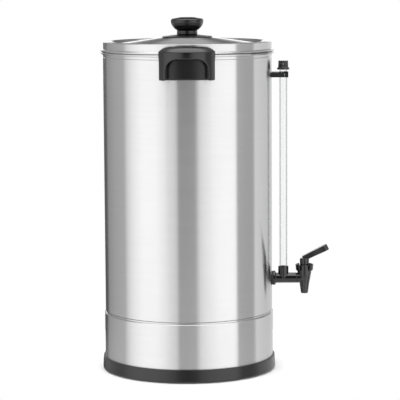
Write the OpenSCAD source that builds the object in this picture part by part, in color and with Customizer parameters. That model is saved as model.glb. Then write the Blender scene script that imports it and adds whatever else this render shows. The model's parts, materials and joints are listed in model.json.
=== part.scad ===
// Percolator urn for hot drinks: a stainless tank of about 15 litres with a
// draw-off tap, a glass sight gauge, two side handles and a lift-off lid.
// Millimetres. +Z is up and +X points at the tap. The origin is the centre
// of the underside, in the plane that the urn stands on.

/* [Tank] */
// Outer radius of the tank wall
body_r = 124; // [123:0.5:125]
// Sheet thickness of the tank and the skirt
wall_t = 1; // [0.8:0.1:1]
// Height of the centre of the rolled rim
rim_z = 469.4; // [468.9:0.1:469.9]
// Top of the tank floor
floor_z = 94; // [93.5:0.1:94]
// Height of the groove between tank and skirt
groove_z = 86.5; // [86:0.1:87]

/* [Base] */
// Outer radius of the base ring at its top
ring_r = 127.8; // [127:0.1:129]
// Height of the base ring's top edge
ring_h = 20; // [16:0.5:24]
// How far the base ring widens towards its foot
ring_flare = 0.9; // [0:0.1:1.5]
// Direction of the switch, in degrees from the tap
switch_az = 45; // [35:1:55]
// Direction of the cord gland, in degrees from the tap
gland_az = 135; // [125:1:145]

/* [Lid] */
// Outer radius of the lid's upright edge
lid_r = 123.7; // [123.4:0.1:123.9]
// Widest radius of the knob
knob_r = 23.9; // [21:0.1:25]
// Height of the top of the knob, which is the height of the urn
knob_top = 521; // [519:0.5:524]
// Radius of the heat shield under the knob
shield_r = 36.6; // [33:0.2:40]

/* [Handles] */
// Width of a handle
handle_w = 80.4; // [78:0.2:82]
// Height of a handle's lower edge
handle_z = 435.6; // [434:0.2:440]
// How far a handle stands out from the tank wall
handle_reach = 28; // [26:0.5:32]
// Width of the finger opening
arch_w = 60.6; // [58:0.2:61]

/* [Tap] */
// Height of the tap's shank
tap_z = 133; // [132:0.5:134]
// Distance of the tap's barrel from the urn's axis
barrel_x = 172.4; // [170:0.2:176]
// Radius of the outlet at the end of the spout
spout_bore_r = 3.6; // [3.2:0.1:3.8]
// Upward slope of the closed lever, in degrees
lever_slope = 27; // [22:1:30]
// Length of the lever's arm from its pin
lever_len = 41.8; // [38:0.2:42]

/* [Gauge] */
// Distance of the gauge tube from the urn's axis
gauge_x = 141; // [140.6:0.1:141.4]
// Outer radius of the gauge tube
tube_r = 6; // [5.8:0.1:6]
// Radius of the gauge tube's bore
tube_bore_r = 4.4; // [4:0.1:4.6]
// Height of the top of the gauge tube
tube_top = 452.3; // [451:0.1:453]

/* [Brewing] */
// Outer radius of the filter basket
basket_r = 80; // [74:1:84]
// Height of the basket's floor
basket_z = 342.2; // [330:0.2:345]
// Depth of the basket
basket_h = 88; // [80:1:90]
// Outer radius of the riser tube
riser_r = 5; // [4.6:0.1:5]

/* [Hidden] */
$fn = 96;

steel = "silver";
black = [0.09, 0.09, 0.09];
eps = 0.02;             // gap that keeps two seated faces apart

// Tank and skirt
bore_r = body_r - wall_t;
bead_r = 1.65;          // rolled edges of the tank and the lid
bead_x = body_r + 1.5;
skirt_r = body_r + 1.2;
swage_r = skirt_r - wall_t - 0.3;
floor_t = 1.2;
floor_low = floor_z - floor_t;
well_r = 18;            // well that the riser's foot stands in
well_depth = 6;
stud_ring = 43;         // radius of the circle of heater studs
stud_r = 2.5;
sensor_ring = 92;       // radius of the circle that the two sensors sit on
sensor_az = [160, 200];
sensor_pitch = 13;      // sensor stud from the sensor's centre
sensor_stud_r = 1.5;
plate_low = floor_low - 8;

// Base
flange_low = 0.8;       // underside of the base ring
seat_z = 6;             // the skirt stands on the ring here
cover_r = 111.4;
cover_z = 2.6;
cover_t = 1;
cover_screw_ring = 108.4;
cover_screw_r = 1.7;
control_z = 48;         // height of the switch and the pilot lamp
lamp_az = switch_az - 20;
gland_z = 32;
gland_bore_r = 3.8;
gland_x = 108;          // inner end of the gland, from the urn's axis
block_at = [-20, 66, cover_z + cover_t + eps];

rocker_x = 122.5;       // the rocker turns about this radius
rocker_tilt = 9;        // either way from the middle
trunnion_r = 1.5;

// Handles
handle_arc = 45;        // radius of the handle's bowed front, seen from above
handle_side_z = 475.8;  // where the rounded top begins
handle_round = [14, 7.1]; // depth and rise of the rounded top
handle_wall = 4.2;
arch_top = 465.9;
arch_corner = 17;
relief_r = body_r + 4.6; // keeps the handle clear of the lid's flange
relief_z = 466.2;
handle_screw_az = 15;
handle_screw_z = 452;
screw_r = 1.95;

// Tap
shank_r = 7.6;
thread_r = 7.4;
tap_flange = [body_r + 1.3, body_r + 5.6];
barrel_bore_r = 5.4;
seat_top = tap_z - 4.5; // the valve cup closes on this seat
column_r = 6.8;
column_top = 152.3;
stem_r = 1.9;
pin_z = 157.4;          // the lever turns about this pin
pin_r = 1;
hub_low = 153.6;
lever_rise = 3.6;       // the arm's centre line passes this far above the pin
lever_thick = 6.5;
socket_floor = 142;
joint_x = 161;          // the barrel is screwed on to the shank here
spigot_r = 5.8;
spring_z = [138.3, 145.5];
spring_turns = 4;

// Gauge
gauge_bore = tube_r + 0.05;
bracket_z = [432.2, 440];
clip_z = [432, 440.6];
clip_screw_y = 8.4;

// Lid
lid_t = 0.8;
lid_edge_r = 0.8;       // rounding at the top of the upright edge
lid_bead_z = rim_z + 3.7;
cone_r = 101.5;
cone_slope = 0.137;
cone_edge_z = 482.6;
seat_r = 18;            // flat middle of the lid
seat_top_z = cone_edge_z + cone_slope * (cone_r - seat_r);
shield_top = seat_top_z + 1.4;

// Brewing
riser_top = 456;
sleeve_r = riser_r + 0.3;
cover_gap = 0.3;

// Points on an arc of an ellipse, from angle a to angle b
function arc(c, r, a, b, n = 8) =
    [for (i = [0:n]) let(t = a + (b - a) * i / n) [c[0] + r[0] * cos(t), c[1] + r[1] * sin(t)]];

// Cubic curve through the first and last of four points
function curve(w, t) = pow(1 - t, 3) * w[0] + 3 * pow(1 - t, 2) * t * w[1]
    + 3 * (1 - t) * pow(t, 2) * w[2] + pow(t, 3) * w[3];
function slope(w, t) = pow(1 - t, 2) * (w[1] - w[0]) + 2 * (1 - t) * t * (w[2] - w[1])
    + pow(t, 2) * (w[3] - w[2]);
function unit(v) = v / norm(v);

// Tube along a list of points whose directions are dirs; side lies across the path
module sweep(pts, dirs, side, r, sides = 8) {
    n = len(pts);
    rings = [for (i = [0:n - 1])
        let(d = unit(dirs[i]), u = unit(cross(d, side)), v = cross(d, u))
        for (k = [0:sides - 1]) pts[i] + r * (cos(360 * k / sides) * u + sin(360 * k / sides) * v)];
    walls = [for (i = [0:n - 2], k = [0:sides - 1])
        let(a = i * sides + k, b = i * sides + (k + 1) % sides)
        [a, b, b + sides, a + sides]];
    ends = [[for (k = [sides - 1:-1:0]) k], [for (k = [0:sides - 1]) (n - 1) * sides + k]];
    polyhedron(points = rings, faces = concat(walls, ends));
}

// One insulated wire on a cubic curve
module wire(w, r = 1.3, n = 14) {
    pts = [for (i = [0:n]) curve(w, i / n)];
    dirs = [for (i = [0:n]) slope(w, i / n)];
    sweep(pts, dirs, unit(cross(w[3] - w[0], [0, 0, 1])), r);
}

// Point at radius r, direction az and height z
function polar(r, az, z) = [r * cos(az), r * sin(az), z];

// Cylinder along +X from x0 to x1
module x_rod(r, x0, x1, z = 0, y = 0) {
    translate([x0, y, z]) rotate([0, 90, 0]) cylinder(r = r, h = x1 - x0);
}

// Ring between two radii
module tube(r_out, r_in, z0, z1) {
    translate([0, 0, z0]) difference() {
        cylinder(r = r_out, h = z1 - z0);
        translate([0, 0, -1]) cylinder(r = r_in, h = z1 - z0 + 2);
    }
}

// Solid of revolution from a list of [radius, height] points
module turned(points) {
    rotate_extrude() polygon(points);
}

// Places its children on the skirt: +X is then outwards, Z is still up
module on_skirt(az, z) {
    rotate([0, 0, az]) translate([0, 0, z]) children();
}

// Places its children at each handle screw, +X outwards
module at_handle_screws() {
    for (side = [-90, 90], turn = [-handle_screw_az, handle_screw_az])
        rotate([0, 0, side + turn]) translate([0, 0, handle_screw_z]) children();
}

module at_heater_studs() {
    for (az = [90, 210, 330]) translate(polar(stud_ring, az, 0)) children();
}

module at_sensor_studs() {
    for (az = sensor_az, side = [-1, 1])
        rotate([0, 0, az]) translate([sensor_ring, side * sensor_pitch, 0]) children();
}

module at_cover_screws() {
    for (az = [22.5:90:360]) translate(polar(cover_screw_ring, az, 0)) children();
}

// Holes on circles, as [radius of the circle, number of holes]
module hole_rings(rings, r, z, h) {
    for (ring = rings, i = [0:ring[1] - 1])
        translate(polar(ring[0], 360 * i / ring[1], z)) cylinder(r = r, h = h, $fn = 16);
}

// ---------------------------------------------------------------- tank

module tank_wall() color(steel) difference() {
    groove_r = body_r - wall_t - 0.1;
    union() {
        rotate_extrude($fn = 180) polygon([[swage_r, 72], [swage_r, groove_z - 1.9],
            [groove_r, groove_z - 1.1], [groove_r, groove_z + 0.9], [body_r, groove_z + 2.3],
            [body_r, rim_z - 6.2], [body_r - 0.35, rim_z - 5.6], [body_r, rim_z - 5], [body_r, rim_z],
            [body_r - 0.2, rim_z + 1], [bore_r, rim_z + 1], [bore_r, groove_z + 2.8],
            [groove_r - 1, groove_z + 1.4], [groove_r - 1, groove_z - 1.6],
            [swage_r - 1, groove_z - 2.4], [swage_r - 1, 72]]);
        rotate_extrude($fn = 180) translate([bead_x, rim_z]) circle(r = bead_r, $fn = 32);
    }
    x_rod(thread_r + 0.3, body_r - 8, body_r + 4, tap_z);
    x_rod(screw_r + 0.15, body_r - 8, body_r + 4, (bracket_z[0] + bracket_z[1]) / 2);
    at_handle_screws() x_rod(screw_r + 0.15, body_r - 8, body_r + 4);
}

// Pressed floor with an upturned edge, a well for the riser's foot and welded studs
module tank_bottom() color(steel) {
    edge_r = bore_r - eps;
    bend = 6;
    corner = [edge_r - bend - floor_t, floor_z + bend];
    rotate_extrude($fn = 180) polygon(concat([[edge_r, floor_z + 14]],
        arc(corner, [bend + floor_t, bend + floor_t], 0, -90),
        [[well_r + floor_t, floor_low], [well_r + floor_t, floor_low - well_depth],
        [0, floor_low - well_depth], [0, floor_z - well_depth], [well_r, floor_z - well_depth]],
        arc([well_r + 2, floor_z - 2], [2, 2], 180, 90, 4),
        arc(corner, [bend, bend], -90, 0),
        [[edge_r - floor_t, floor_z + 14]]));
    at_heater_studs() translate([0, 0, 76]) cylinder(r = stud_r, h = floor_low - 76 + 0.5);
    at_sensor_studs() translate([0, 0, 80]) cylinder(r = sensor_stud_r, h = floor_low - 80 + 0.5);
}

// ---------------------------------------------------------------- base

module base_skirt() color(steel) difference() {
    rotate_extrude($fn = 180) polygon([[skirt_r - wall_t, seat_z], [skirt_r, seat_z],
        [skirt_r, groove_z - 2], [skirt_r - 0.4, groove_z - 1.5], [skirt_r - wall_t, groove_z - 1.5]]);
    on_skirt(switch_az, control_z) translate([skirt_r, 0, 0]) cube([12, 22.4, 30.4], center = true);
    on_skirt(lamp_az, control_z) x_rod(5.1, skirt_r - 8, skirt_r + 4);
    on_skirt(gland_az, gland_z) x_rod(6.1, skirt_r - 8, skirt_r + 4);
}

module base_ring() color(black) difference() {
    foot_r = ring_r + ring_flare;
    union() {
        difference() {
            rotate_extrude($fn = 180) polygon(concat([[104, 3.7], [112, 3.7], [112, flange_low]],
                arc([foot_r - 2.6, flange_low + 2.6], [2.6, 2.6], -90, 0, 6),
                arc([ring_r - 1, ring_h - 1], [1, 1], 0, 90, 4),
                [[skirt_r + 0.2, ring_h], [skirt_r + 0.2, seat_z], [104, seat_z]]));
            tube(121, 113, -1, 2.2);
        }
        at_cover_screws() translate([0, 0, cover_z + cover_t + 0.1]) cylinder(r = 4, h = 9, $fn = 32);
    }
    at_cover_screws() translate([0, 0, 2]) cylinder(r = cover_screw_r, h = 9, $fn = 32);
}

module foot_ring() color([0.15, 0.15, 0.15]) tube(120.9, 113.1, 0, 2.2);

module bottom_cover() color([0.6, 0.6, 0.62]) difference() {
    translate([0, 0, cover_z]) cylinder(r = cover_r, h = cover_t);
    at_cover_screws() translate([0, 0, cover_z - 1]) cylinder(r = cover_screw_r + 0.2, h = 3, $fn = 32);
    hole_rings([[30, 8], [45, 12], [60, 16]], 2, cover_z - 1, 3);
}

module cover_screws() color(steel) at_cover_screws() {
    translate([0, 0, 0.9]) cylinder(r = 3.4, h = cover_z - 0.9 - eps, $fn = 32);
    translate([0, 0, 1.6]) cylinder(r = cover_screw_r, h = 9, $fn = 32);
}

// ---------------------------------------------------------------- heating

module heater_plate() color([0.75, 0.75, 0.76]) difference() {
    tube(72, well_r + floor_t + 0.3, plate_low, floor_low - eps);
    at_heater_studs() translate([0, 0, plate_low - 1]) cylinder(r = stud_r + 0.3, h = 12, $fn = 32);
    translate([0, 0, plate_low]) rotate_extrude() translate([58, 0]) circle(r = 3.3, $fn = 24);
    translate([0, 0, plate_low]) rotate_extrude() translate([30, 0]) circle(r = 2.5, $fn = 24);
}

// Ring element of radius r with both ends turned down as terminals
module element(r, rod, gap) {
    translate([0, 0, plate_low]) rotate([0, 0, gap]) rotate_extrude(angle = 360 - 2 * gap)
        translate([r, 0]) circle(r = rod, $fn = 24);
    for (az = [gap, -gap]) translate(polar(r, az, plate_low - 13))
        cylinder(r = rod - 0.4, h = 13, $fn = 24);
}

module heater_element() color([0.35, 0.35, 0.36]) element(58, 3.25, 14);

module keep_warm_element() color([0.4, 0.4, 0.41]) element(30, 2.45, 24);

module heater_nuts() color(steel) at_heater_studs() difference() {
    translate([0, 0, plate_low - 4.2]) cylinder(r = 4.6, h = 4.2 - eps, $fn = 6);
    translate([0, 0, plate_low - 5]) cylinder(r = stud_r + eps, h = 6, $fn = 32);
}

// Bimetal disc switch clamped by its two ears
module sensor(az, r, h) {
    rotate([0, 0, az]) translate([sensor_ring, 0, 0]) difference() {
        union() {
            translate([0, 0, floor_low - eps - h]) cylinder(r = r, h = h, $fn = 48);
            translate([-4.5, -17, floor_low - 8]) cube([9, 34, 1]);
            for (side = [-1, 1]) translate([-3, side * 4 - 0.4, floor_low - h - 7]) cube([6, 0.8, 8]);
        }
        for (side = [-1, 1]) translate([0, side * sensor_pitch, floor_low - 10])
            cylinder(r = sensor_stud_r + 0.1, h = 6, $fn = 24);
    }
}

module thermostat() color([0.82, 0.8, 0.74]) sensor(sensor_az[1], 9, 12);

module thermal_cutout() color([0.55, 0.42, 0.3]) sensor(sensor_az[0], 8, 10);

module sensor_nuts() color(steel) at_sensor_studs() difference() {
    translate([0, 0, floor_low - 10.4]) cylinder(r = 3.1, h = 2.4 - eps, $fn = 6);
    translate([0, 0, floor_low - 11]) cylinder(r = sensor_stud_r + eps, h = 4, $fn = 24);
}

// ---------------------------------------------------------------- electrics

module terminal_block() color([0.85, 0.85, 0.82]) translate(block_at) difference() {
    translate([-20, -9, 0]) cube([40, 18, 14]);
    for (i = [-1:1]) translate([i * 12, -10, 7]) rotate([-90, 0, 0]) cylinder(r = 2, h = 20, $fn = 24);
    for (i = [-1:1]) translate([i * 12, 0, 8]) cylinder(r = 2.4, h = 7, $fn = 24);
}

// Ends of the wires, each just clear of its terminal
port_y = 9.2;
function port(i, side) = block_at + [12 * i, side * port_y, 7];
function gland_core(turn, back = 2) = polar(gland_x - back, gland_az, gland_z)
    + 2.1 * (cos(turn) * polar(1, gland_az + 90, 0) + [0, 0, sin(turn)]);
switch_tab = polar(90, switch_az, control_z + 8);
switch_tab_low = polar(90, switch_az, control_z - 8);
lamp_tail = polar(98, lamp_az, control_z);
sensor_low = floor_low - 24;

module wiring_live() color([0.36, 0.2, 0.1]) {
    wire([gland_core(90), gland_core(90, 10) + [0, 0, 8], port(-1, 1) + [0, 10, 4], port(-1, 1)]);
    wire([port(-1, -1), port(-1, -1) + [0, -34, 0], switch_tab_low * 0.4 + [0, 0, 20], switch_tab_low]);
    wire([switch_tab, switch_tab * 0.5 + [0, 0, 28], polar(50, sensor_az[1], 40),
        polar(sensor_ring, sensor_az[1] + 3, sensor_low - 3)]);
    wire([polar(sensor_ring, sensor_az[1] - 3, sensor_low - 3), polar(80, 185, 48), polar(80, 172, 48),
        polar(sensor_ring, sensor_az[0] + 3, sensor_low - 3)]);
    wire([polar(sensor_ring, sensor_az[0] - 3, sensor_low - 3), polar(70, 150, 30), polar(58, 14, 40),
        polar(58, 14, plate_low - 13.1)]);
}

module wiring_neutral() color([0.15, 0.25, 0.55]) {
    wire([gland_core(210), gland_core(210, 10) - [0, 0, 8], port(0, 1) + [0, 20, 0], port(0, 1)]);
    wire([port(0, -1), port(0, -1) + [0, -60, 0], polar(58, -14, 30), polar(58, -14, plate_low - 13.1)]);
    wire([lamp_tail, lamp_tail * 0.8, lamp_tail * 0.8, switch_tab_low + [-8, -24, 8]], 1);
}

module wiring_earth() color([0.25, 0.5, 0.2]) {
    wire([gland_core(330), gland_core(330, 18) - [0, 0, 8], port(1, 1) + [0, 14, 8], port(1, 1)]);
}

module cord_gland() color(black) on_skirt(gland_az, gland_z) difference() {
    union() {
        x_rod(6, gland_x, skirt_r + 1);
        x_rod(6.6, skirt_r + 3, skirt_r + 9);
        difference() {
            x_rod(9, skirt_r - 2, skirt_r + 3.4);
            translate([0, 0, -20]) cylinder(r = skirt_r + eps, h = 40);
        }
    }
    x_rod(gland_bore_r, 100, skirt_r + 20);
}

module gland_nut() color(black) on_skirt(gland_az, gland_z) intersection() {
    difference() {
        translate([111, 0, 0]) rotate([0, 90, 0]) cylinder(r = 9.6, h = 14, $fn = 6);
        x_rod(6 + eps, 100, skirt_r + 20);
    }
    translate([0, 0, -20]) cylinder(r = skirt_r - wall_t - eps, h = 40);
}

module switch_housing() color(black) on_skirt(switch_az, control_z) difference() {
    union() {
        translate([101, -11, -15]) cube([24, 22, 30]);
        difference() {
            translate([skirt_r - 1, -12.5, -16.5]) cube([3.6, 25, 33]);
            translate([0, 0, -20]) cylinder(r = skirt_r + eps, h = 40);
        }
        for (z = [-8, 0, 8]) translate([91, -3, z - 0.4]) cube([11, 6, 0.8]);
    }
    translate([112, -9.2, -14]) cube([20, 18.4, 28]);
    translate([rocker_x, -10.4, 0]) rotate([-90, 0, 0]) cylinder(r = trunnion_r + 0.06, h = 20.8);
}

module switch_rocker() color([0.12, 0.12, 0.12]) on_skirt(switch_az, control_z)
    translate([rocker_x, 0, 0]) rotate([0, rocker_tilt, 0]) rotate([90, 0, 0]) {
        translate([0, 0, -8.8]) linear_extrude(17.6) polygon([[6.2, 12.6], [3.4, 0], [6.2, -12.6],
            [1, -12.6], [-7, -4], [-7, 4], [1, 12.6]]);
        translate([0, 0, -10.2]) cylinder(r = trunnion_r, h = 20.4);
    }

module pilot_lamp() color([0.8, 0.8, 0.8]) on_skirt(lamp_az, control_z) difference() {
    union() {
        x_rod(5, 104, skirt_r + 1);
        difference() {
            x_rod(6.6, skirt_r - 1, skirt_r + 1.8);
            translate([0, 0, -10]) cylinder(r = skirt_r + eps, h = 20);
        }
        for (side = [-1, 1]) translate([99, side * 2.4 - 0.3, -1.5]) cube([6, 0.6, 3]);
    }
    x_rod(4.2, skirt_r - 5, skirt_r + 4);
}

module pilot_lens() color([0.85, 0.35, 0.1]) on_skirt(lamp_az, control_z)
    translate([skirt_r - 4.9, 0, 0]) rotate([0, 90, 0])
        turned(concat([[0, 0], [4.15, 0]], arc([0, 6.4], [4.15, 2.4], 0, 90, 6)));

// ---------------------------------------------------------------- tap

// The barrel's outline: a slim spout that opens into a flared collar
function barrel_outline() = [[0, 110], [4.9, 110], [5.25, 110.6], [6.1, 117], [7.15, 124.9],
    [8.55, 132], [9.5, 137.5], [10.5, 143], [12.6, 144.8], [13.4, 152.7], [13.4, 153.4],
    [11.9, 153.4], [11.2, 145.8], [column_r, 144.6], [column_r, column_top], [0, column_top]];

// Threaded shank with its flange and the socket that holds the gauge tube
module tap_shank() color(black) difference() {
    union() {
        x_rod(thread_r, 108, tap_flange[0] + 0.5, tap_z);
        x_rod(10.65, tap_flange[0], tap_flange[1] - 0.8, tap_z);
        x_rod(9.6, tap_flange[0], tap_flange[1], tap_z);
        x_rod(shank_r, tap_flange[0], joint_x - eps, tap_z);
        x_rod(spigot_r, joint_x - 1, joint_x + 3, tap_z);
        translate([gauge_x, 0, tap_z]) cylinder(r = 7.7, h = 150.7 - tap_z);
    }
    x_rod(4.2, 100, joint_x + 5, tap_z);
    translate([gauge_x, 0, tap_z]) cylinder(r = 2.6, h = 20);
    translate([gauge_x, 0, socket_floor]) cylinder(r = 6.6, h = 20);
}

// Barrel with its spout; two windows in the collar show the column inside it
module tap_barrel() color(black) difference() {
    union() {
        x_rod(shank_r, joint_x, barrel_x - 3, tap_z);
        translate([barrel_x, 0, 0]) difference() {
            turned(barrel_outline());
            for (side = [0, 180]) rotate([0, 0, side]) difference() {
                union() {
                    translate([0, 0, 144.6]) rotate([90, 0, 0]) cylinder(r = 7.2, h = 20);
                    translate([-7.2, -20, 144.6]) cube([14.4, 20, 20]);
                }
                translate([0, 0, 130]) cylinder(r = column_r, h = 30);
            }
        }
    }
    x_rod(spigot_r + eps, joint_x - 1, joint_x + 3 + eps, tap_z);
    x_rod(4.2, joint_x, barrel_x, tap_z);
    translate([barrel_x, 0, 100]) cylinder(r = spout_bore_r, h = 40);
    translate([barrel_x, 0, seat_top]) cylinder(r = barrel_bore_r, h = 40);
}

// Outside seal: its inner face follows the tank wall
module tap_outer_gasket() color([0.75, 0.72, 0.68]) difference() {
    x_rod(10.2, body_r - 4, tap_flange[0] - eps, tap_z);
    x_rod(thread_r + eps, body_r - 6, body_r + 6, tap_z);
    translate([0, 0, tap_z - 20]) cylinder(r = body_r + eps, h = 40, $fn = 180);
}

module tap_inner_gasket() color([0.75, 0.72, 0.68]) intersection() {
    difference() {
        x_rod(11, 119.5, body_r, tap_z);
        x_rod(thread_r + eps, 110, body_r + 6, tap_z);
    }
    translate([0, 0, tap_z - 20]) cylinder(r = bore_r - eps, h = 40, $fn = 180);
}

module tap_lock_nut() color(steel) difference() {
    translate([113.4, 0, tap_z]) rotate([0, 90, 0]) cylinder(r = 13, h = 6, $fn = 6);
    x_rod(thread_r + eps, 100, 130, tap_z);
}

module tap_bonnet() color(black) translate([barrel_x, 0, 0]) difference() {
    union() {
        translate([0, 0, 146]) cylinder(r = barrel_bore_r - eps, h = 7);
        translate([0, 0, column_top + eps]) cylinder(r = column_r, h = 1);
    }
    translate([0, 0, 140]) cylinder(r = stem_r + 0.08, h = 20);
}

module valve_stem() color(steel) translate([barrel_x, 0, 0]) difference() {
    union() {
        translate([0, 0, 131]) cylinder(r = stem_r, h = 28.3);
        translate([0, 0, 137]) cylinder(r = 4.2, h = 0.8);
    }
    translate([0, 10, pin_z]) rotate([90, 0, 0]) cylinder(r = pin_r + eps, h = 20, $fn = 32);
}

module valve_cup() color([0.8, 0.78, 0.75]) translate([barrel_x, 0, 0]) difference() {
    turned([[0, 128.6], [3, 128.6], [4.9, 130.2], [4.9, 135.4], [4.2, 137 - eps], [0, 137 - eps]]);
    translate([0, 0, 131 - eps]) cylinder(r = stem_r + eps, h = 10);
}

module valve_spring() color(steel) translate([barrel_x, 0, 0]) {
    n = spring_turns * 14;
    pts = [for (i = [0:n]) polar(3.5, 360 * spring_turns * i / n,
        spring_z[0] + (spring_z[1] - spring_z[0]) * i / n)];
    dirs = [for (i = [0:n]) let(a = 360 * spring_turns * i / n) [-sin(a), cos(a),
        (spring_z[1] - spring_z[0]) / (2 * PI * spring_turns * 3.5)]];
    sweep(pts, dirs, [0, 0, 1], 0.4, 6);
}

module lever_pin() color(steel) translate([barrel_x, 6.3, pin_z]) rotate([90, 0, 0])
    cylinder(r = pin_r, h = 12.6, $fn = 32);

// Side view of the lever: hub below, arm rising outwards
module lever_side() {
    along = [cos(lever_slope), sin(lever_slope)];
    across = [-sin(lever_slope), cos(lever_slope)];
    tip = lever_len * along + lever_rise * across;
    half = lever_thick / 2;
    polygon([[-6.9, hub_low - pin_z], [6.9, hub_low - pin_z], [6.7, 1.4], [5.6, 4.2],
        tip - along - half * across, tip - (half - 1) * across, tip + (half - 0.6) * across,
        tip - 0.6 * along + half * across, [-5.8, 5], [-6.8, 3.4]]);
}

module tap_lever() color(black) translate([barrel_x, 0, pin_z]) difference() {
    intersection() {
        translate([0, 10, 0]) rotate([90, 0, 0]) linear_extrude(20) lever_side();
        union() {
            translate([0, 0, -20]) cylinder(r = 6.9, h = 60);
            translate([0, 0, -20]) linear_extrude(80) polygon([[0, -4.4], [lever_len - 12, -5.8],
                [lever_len - 6, -5.4], [lever_len - 4, -3.8], [lever_len - 4, 3.8],
                [lever_len - 6, 5.4], [lever_len - 12, 5.8], [0, 4.4]]);
        }
    }
    translate([-3.2, -2.2, -10]) cube([8.1, 4.4, 13.2]);
    translate([0, 10, 0]) rotate([90, 0, 0]) cylinder(r = pin_r + 0.06, h = 20, $fn = 32);
}

// ---------------------------------------------------------------- gauge

module gauge_tube() color([0.8, 0.9, 0.95, 0.4]) translate([gauge_x, 0, 0])
    tube(tube_r, tube_bore_r, socket_floor + eps, tube_top);

module gauge_seal() color([0.2, 0.2, 0.2]) translate([gauge_x, 0, 0])
    tube(6.6 - eps, tube_r + eps, 144, 150.2);

module gauge_cap() color(black) translate([gauge_x, 0, 0]) difference() {
    union() {
        turned([[0, 445], [7.5, 445], [7.5, 446.4], [7.1, 455.6], [6.3, 456.5], [0, 456.5]]);
        translate([0, 0, 443.3]) cylinder(r = 9.15, h = 2.9);
    }
    translate([0, 0, 440]) cylinder(r = tube_r + 0.3, h = tube_top - 440 + 0.3);
    cylinder(r = 0.8, h = 600, $fn = 24);
    for (i = [0:9]) translate(polar(8.1, 36 * i + 18, 446.2)) cylinder(r = 1.4, h = 20, $fn = 24);
}

// Arm from the tank wall to the tube, with two grooves along each face
module gauge_bracket() color(black) difference() {
    translate([118, -11, bracket_z[0]]) cube([gauge_x + 1.6 - 118, 22, bracket_z[1] - bracket_z[0]]);
    for (z = [434.3, 437.2], y = [-11.4, 10.4]) translate([117, y, z]) cube([26, 1, 0.8]);
    translate([0, 0, 420]) cylinder(r = body_r + eps, h = 40, $fn = 180);
    translate([gauge_x, 0, 420]) cylinder(r = gauge_bore, h = 40);
    x_rod(screw_r, 100, gauge_x, (bracket_z[0] + bracket_z[1]) / 2);
    for (side = [-1, 1]) x_rod(1.2, 132, 160, (bracket_z[0] + bracket_z[1]) / 2, side * clip_screw_y);
}

module gauge_clip() color(black) difference() {
    translate([gauge_x + 2.2, -11, clip_z[0]]) cube([4.9, 22, clip_z[1] - clip_z[0]]);
    translate([gauge_x, 0, 420]) cylinder(r = gauge_bore, h = 40);
    for (side = [-1, 1]) {
        x_rod(1.35, 132, 160, (bracket_z[0] + bracket_z[1]) / 2, side * clip_screw_y);
        x_rod(2.2, gauge_x + 5.4, 160, (bracket_z[0] + bracket_z[1]) / 2, side * clip_screw_y);
    }
}

module clip_screws() color(steel) for (side = [-1, 1]) {
    x_rod(1.2 - eps, 133, gauge_x + 6, (bracket_z[0] + bracket_z[1]) / 2, side * clip_screw_y);
    x_rod(2.1, gauge_x + 5.4 + eps, gauge_x + 6.8, (bracket_z[0] + bracket_z[1]) / 2, side * clip_screw_y);
}

// Pan-head screw through the tank wall, head inside
module wall_screw(tip) {
    x_rod(4.1, bore_r - 2.6, bore_r - 0.1);
    x_rod(screw_r - eps, bore_r - 1, tip);
}

module bracket_screw() color(steel) translate([0, 0, (bracket_z[0] + bracket_z[1]) / 2])
    wall_screw(gauge_x - tube_r - 1);

// ---------------------------------------------------------------- handles

// Plan of the handle, shrunk all round by inset
module handle_plan(inset) {
    intersection() {
        translate([0, handle_arc - body_r - handle_reach]) circle(r = handle_arc - inset);
        translate([inset - handle_w / 2, -body_r - 40]) square([handle_w - 2 * inset, 56 - inset]);
    }
}

module handle_slab(inset, z, h) {
    translate([0, 0, z]) linear_extrude(h) handle_plan(inset);
}

// Arched opening, seen from the front
module arch() {
    half = arch_w / 2;
    translate([-half, handle_z - 5]) square([arch_w, arch_top - arch_corner - handle_z + 5]);
    translate([arch_corner - half, handle_z]) square([arch_w - 2 * arch_corner, arch_top - handle_z]);
    for (side = [-1, 1]) translate([side * (half - arch_corner), arch_top - arch_corner])
        circle(r = arch_corner);
}

module handle() {
    difference() {
        hull() {
            handle_slab(0, handle_z, handle_side_z - handle_z);
            for (t = [0.25, 0.5, 0.75, 1])
                handle_slab(handle_round[0] * t,
                    handle_side_z + handle_round[1] * (1 - pow(1 - t, 2)) - 0.1, 0.1);
        }
        translate([0, 0, 400]) cylinder(r = body_r + eps, h = 100, $fn = 180);
        translate([0, 0, relief_z]) cylinder(r = relief_r, h = 100, $fn = 180);
        difference() {
            intersection() {
                handle_slab(handle_wall, handle_z - 5, 476 - handle_z + 5);
                translate([-arch_w / 2, -200, 400]) cube([arch_w, 200, 100]);
            }
            translate([0, 0, 400]) cylinder(r = relief_r, h = 100, $fn = 180);
        }
        translate([0, -134, 0]) rotate([90, 0, 0]) linear_extrude(40) arch();
        for (turn = [-1, 1]) rotate([0, 0, turn * handle_screw_az - 90])
            x_rod(screw_r, 100, body_r + 10, handle_screw_z);
    }
}

module handle_front() color(black) handle();

module handle_rear() color(black) rotate([0, 0, 180]) handle();

module handle_screws() color(steel) at_handle_screws() wall_screw(body_r + 9);

// ---------------------------------------------------------------- lid

function lid_outside() = concat([[0, seat_top_z], [seat_r, seat_top_z], [cone_r, cone_edge_z]],
    arc([104.6, cone_edge_z + 3.5], [4.2, 4], -120, -60, 6),
    arc([115.5, 480.2], [7.4, 6], 135, 92, 8),
    arc([lid_r - lid_edge_r, 484.8], [lid_edge_r, lid_edge_r], 80, 0, 4),
    [[lid_r, lid_bead_z + 1.8], [lid_r + 0.6, lid_bead_z + 1], [bead_x + 0.6, lid_bead_z + 1]]);

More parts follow.
